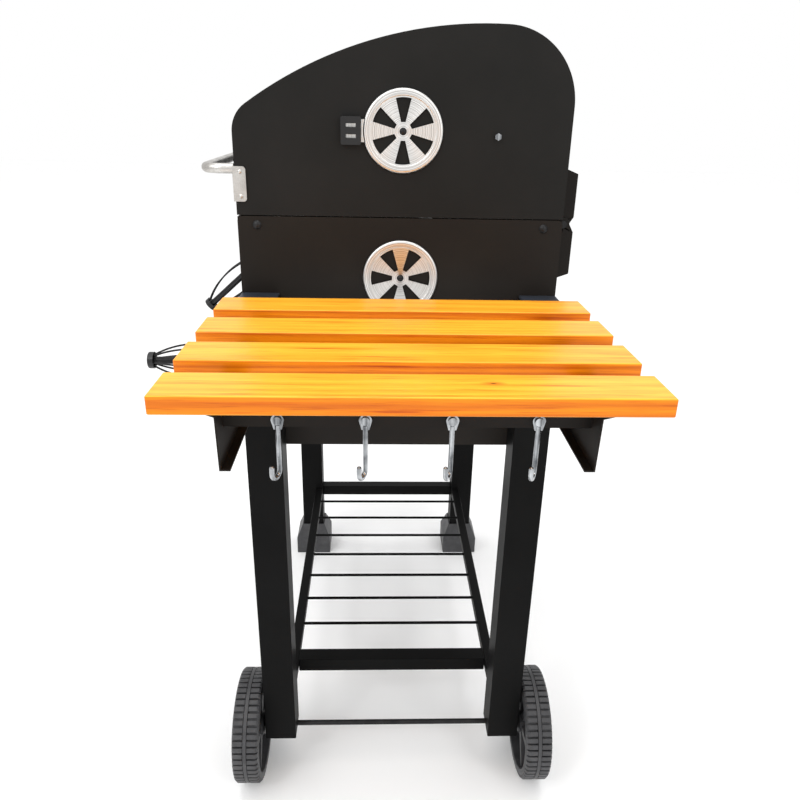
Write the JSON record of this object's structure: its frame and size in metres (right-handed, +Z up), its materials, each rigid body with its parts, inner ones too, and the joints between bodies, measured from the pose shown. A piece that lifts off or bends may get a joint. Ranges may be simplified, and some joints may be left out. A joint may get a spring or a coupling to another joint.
{
  "type": "charcoal grill cart",
  "caption": "Lidded charcoal grill on a wheeled cart, with a slatted side shelf, utensil hooks, turning vents, a lifting fire tray, a warming rack and an ash drawer.",
  "frame": {"origin": "on the ground, in the middle of the whole grill's footprint", "axes": "+X towards the slatted shelf and wheels, +Y towards the lid's hinges at the back, +Z up"},
  "size_m": [1.0318, 0.588, 1.0936],
  "materials": {
    "black_powder": "matte black heat-proof powder coat",
    "brushed_steel": "brushed stainless steel",
    "oiled_wood": "oiled hardwood, grain along the slat",
    "zinc_wire": "bright plated steel wire",
    "wheel_plastic": "moulded black plastic",
    "cap_plastic": "moulded dark grey plastic",
    "grip_plastic": "moulded black plastic, slight sheen",
    "black_steel": "blackened steel fasteners and rods",
    "tray_steel": "bare pressed steel sheet"
  },
  "bodies": {
    "cart": {"leg_near_front": "black_powder", "leg_near_back": "black_powder", "leg_far_front": "black_powder", "leg_far_back": "black_powder", "leg_caps": "cap_plastic", "boots": "wheel_plastic", "axle": "black_steel", "axle_caps": "wheel_plastic", "rack_frame": "black_powder", "rack_wires": "black_powder", "body_side_near": "black_powder", "body_side_far": "black_powder", "body_front": "black_powder", "body_back": "black_powder", "body_floor": "black_powder", "grate_ledges": "black_powder", "frame_bolts": "black_steel", "body_vent_bolt": "black_steel", "hinge_lower_brackets": "black_powder", "hinge_pins": "black_steel", "door_hinges": "black_powder", "lift_pivot_brackets": "black_powder", "shelf_bracket_front": "black_powder", "shelf_bracket_back": "black_powder", "shelf_crossbar": "black_powder", "shelf_slat_1": "oiled_wood", "shelf_slat_2": "oiled_wood", "shelf_slat_3": "oiled_wood", "shelf_slat_4": "oiled_wood", "shelf_screws": "zinc_wire"},
    "wheel_front": {"wheel_front": "wheel_plastic"},
    "wheel_back": {"wheel_back": "wheel_plastic"},
    "lid": {"lid_side_near": "black_powder", "lid_side_far": "black_powder", "lid_skin": "black_powder", "lid_handle_bar": "brushed_steel", "handle_brackets": "brushed_steel", "handle_rivets": "brushed_steel", "lid_vent_bolt": "black_steel", "hinge_upper_brackets": "black_powder", "rack_pivot_bolts": "zinc_wire"},
    "lid_vent": {"lid_vent_disc": "brushed_steel", "lid_vent_grip": "grip_plastic"},
    "body_vent": {"body_vent_disc": "brushed_steel", "body_vent_grip": "grip_plastic"},
    "warming_rack": {"warming_rack": "zinc_wire"},
    "rack_links": {"rack_links": "zinc_wire"},
    "charcoal_door": {"charcoal_door": "black_powder", "door_handle_cage": "black_steel", "door_handle_cap": "grip_plastic"},
    "tray_lift": {"tray_lift_frame": "black_steel", "lift_handle_cage": "black_steel", "lift_handle_cap": "grip_plastic"},
    "charcoal_tray": {"charcoal_tray": "tray_steel"},
    "ash_drawer": {"ash_drawer": "tray_steel"},
    "cooking_grate": {"cooking_grate": "zinc_wire"},
    "hook_1": {"hook_1": "zinc_wire"},
    "hook_2": {"hook_2": "zinc_wire"},
    "hook_3": {"hook_3": "zinc_wire"},
    "hook_4": {"hook_4": "zinc_wire"}
  },
  "joints": [
    {"name": "wheel_front_spin", "type": "hinge", "parent": "cart", "child": "wheel_front", "pos_m": [0.15877, -0.177, 0.085], "axis": [0, 1, 0], "continuous": true},
    {"name": "wheel_back_spin", "type": "hinge", "parent": "cart", "child": "wheel_back", "pos_m": [0.15877, 0.268, 0.085], "axis": [0, 1, 0], "continuous": true},
    {"name": "lid_hinge", "type": "hinge", "parent": "cart", "child": "lid", "pos_m": [-0.15907, 0.259, 0.867], "axis": [-1, 0, 0], "range_deg": [0, 95]},
    {"name": "lid_vent_turn", "type": "hinge", "parent": "lid", "child": "lid_vent", "pos_m": [0.13742, 0.0455, 0.979], "axis": [1, 0, 0], "range_deg": [0, 30]},
    {"name": "body_vent_turn", "type": "hinge", "parent": "cart", "child": "body_vent", "pos_m": [0.13742, 0.0455, 0.806], "axis": [1, 0, 0], "range_deg": [0, 30]},
    {"name": "warming_rack_pivot", "type": "hinge", "parent": "lid", "child": "warming_rack", "pos_m": [-0.15907, 0.1575, 0.975], "axis": [-1, 0, 0], "range_deg": [-95, 0]},
    {"name": "rack_link_swing", "type": "hinge", "parent": "cart", "child": "rack_links", "pos_m": [-0.15907, 0.087, 0.867], "axis": [-1, 0, 0], "range_deg": [0, 95]},
    {"name": "charcoal_door_hinge", "type": "hinge", "parent": "cart", "child": "charcoal_door", "pos_m": [-0.15907, -0.159, 0.677], "axis": [1, 0, 0], "range_deg": [0, 75]},
    {"name": "tray_lift_hinge", "type": "hinge", "parent": "cart", "child": "tray_lift", "pos_m": [-0.15907, 0.2105, 0.679], "axis": [-1, 0, 0], "range_deg": [0, 12]},
    {"name": "charcoal_tray_lift", "type": "slide", "parent": "cart", "child": "charcoal_tray", "axis": [0, 0, 1], "range_m": [0, 0.035]},
    {"name": "ash_drawer_slide", "type": "slide", "parent": "cart", "child": "ash_drawer", "axis": [-1, 0, 0], "range_m": [0, 0.28]},
    {"name": "cooking_grate_lift", "type": "slide", "parent": "cart", "child": "cooking_grate", "axis": [0, 0, 1], "range_m": [0, 0.06]},
    {"name": "hook_1_swing", "type": "hinge", "parent": "cart", "child": "hook_1", "pos_m": [0.43743, -0.073, 0.744], "axis": [1, 0, 0], "range_deg": [-35, 35]},
    {"name": "hook_2_swing", "type": "hinge", "parent": "cart", "child": "hook_2", "pos_m": [0.43743, 0.006, 0.744], "axis": [1, 0, 0], "range_deg": [-35, 35]},
    {"name": "hook_3_swing", "type": "hinge", "parent": "cart", "child": "hook_3", "pos_m": [0.43743, 0.085, 0.744], "axis": [1, 0, 0], "range_deg": [-35, 35]},
    {"name": "hook_4_swing", "type": "hinge", "parent": "cart", "child": "hook_4", "pos_m": [0.43743, 0.164, 0.744], "axis": [1, 0, 0], "range_deg": [-35, 35]}
  ],
  "couplings": [
    {"joint": "warming_rack_pivot", "follows": "lid_hinge", "ratio": -1},
    {"joint": "rack_link_swing", "follows": "lid_hinge", "ratio": 1},
    {"joint": "charcoal_tray_lift", "follows": "tray_lift_hinge", "m_per_rad": 0.165}
  ]
}
